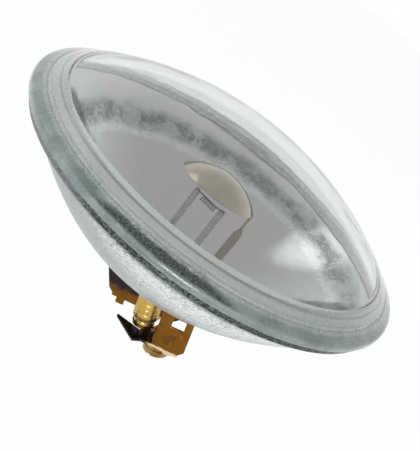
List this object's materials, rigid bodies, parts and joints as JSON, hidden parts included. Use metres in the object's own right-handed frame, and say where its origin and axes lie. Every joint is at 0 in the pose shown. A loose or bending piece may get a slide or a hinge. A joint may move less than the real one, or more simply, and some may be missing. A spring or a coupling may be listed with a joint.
{
  "type": "sealed-beam par spotlight bulb",
  "caption": "Round sealed-beam spotlight bulb with a domed clear lens, a silvered glass bowl, a shield cap over the filament and screw terminals at the back.",
  "frame": {"origin": "centre of the rim's rear edge, where the lamp seats in its holder", "axes": "+Z along the beam, out of the lens; the screw terminals lean towards +X"},
  "size_m": [0.1142, 0.1142, 0.071],
  "materials": {
    "clear_glass": "clear, pressed",
    "silvered_glass": "glass silvered inside, frosty outside",
    "tube_brass": "aged",
    "terminal_brass": "browned",
    "screw_brass": "plain",
    "ferrule_metal": "dull",
    "solder_metal": "dull",
    "inner_metal": "satin"
  },
  "bodies": {
    "base": {"lens": "clear_glass", "reflector_bowl": "silvered_glass", "exhaust_tube": "tube_brass", "shield_cap": "inner_metal", "shield_strap": "inner_metal", "lead_post_near": "inner_metal", "lead_post_far": "inner_metal", "filament": "inner_metal", "ferrule_near": "ferrule_metal", "ferrule_far": "ferrule_metal", "solder_near": "solder_metal", "solder_far": "solder_metal", "bracket_near": "terminal_brass", "bracket_far": "terminal_brass", "nut_near": "screw_brass", "nut_far": "screw_brass"},
    "clamp_near": {"washer_near": "screw_brass"},
    "clamp_far": {"washer_far": "screw_brass"},
    "screw_near_body": {"screw_near": "screw_brass"},
    "screw_far_body": {"screw_far": "screw_brass"}
  },
  "joints": [
    {"name": "clamp_near_slide", "type": "slide", "parent": "base", "child": "clamp_near", "axis": [0.284, 0, -0.9588], "range_m": [0, 0.0035]},
    {"name": "screw_near_turn", "type": "hinge", "parent": "clamp_near", "child": "screw_near_body", "pos_m": [0.01366, -0.00596, -0.04743], "axis": [0.284, 0, -0.9588], "range_deg": [0, 1800]},
    {"name": "clamp_far_slide", "type": "slide", "parent": "base", "child": "clamp_far", "axis": [0.284, 0, -0.9588], "range_m": [0, 0.0035]},
    {"name": "screw_far_turn", "type": "hinge", "parent": "clamp_far", "child": "screw_far_body", "pos_m": [0.00563, 0.00715, -0.04761], "axis": [0.284, 0, -0.9588], "range_deg": [0, 1800]}
  ],
  "couplings": [
    {"joint": "screw_near_turn", "follows": "clamp_near_slide", "rad_per_m": 8976},
    {"joint": "screw_far_turn", "follows": "clamp_far_slide", "rad_per_m": 8976}
  ]
}
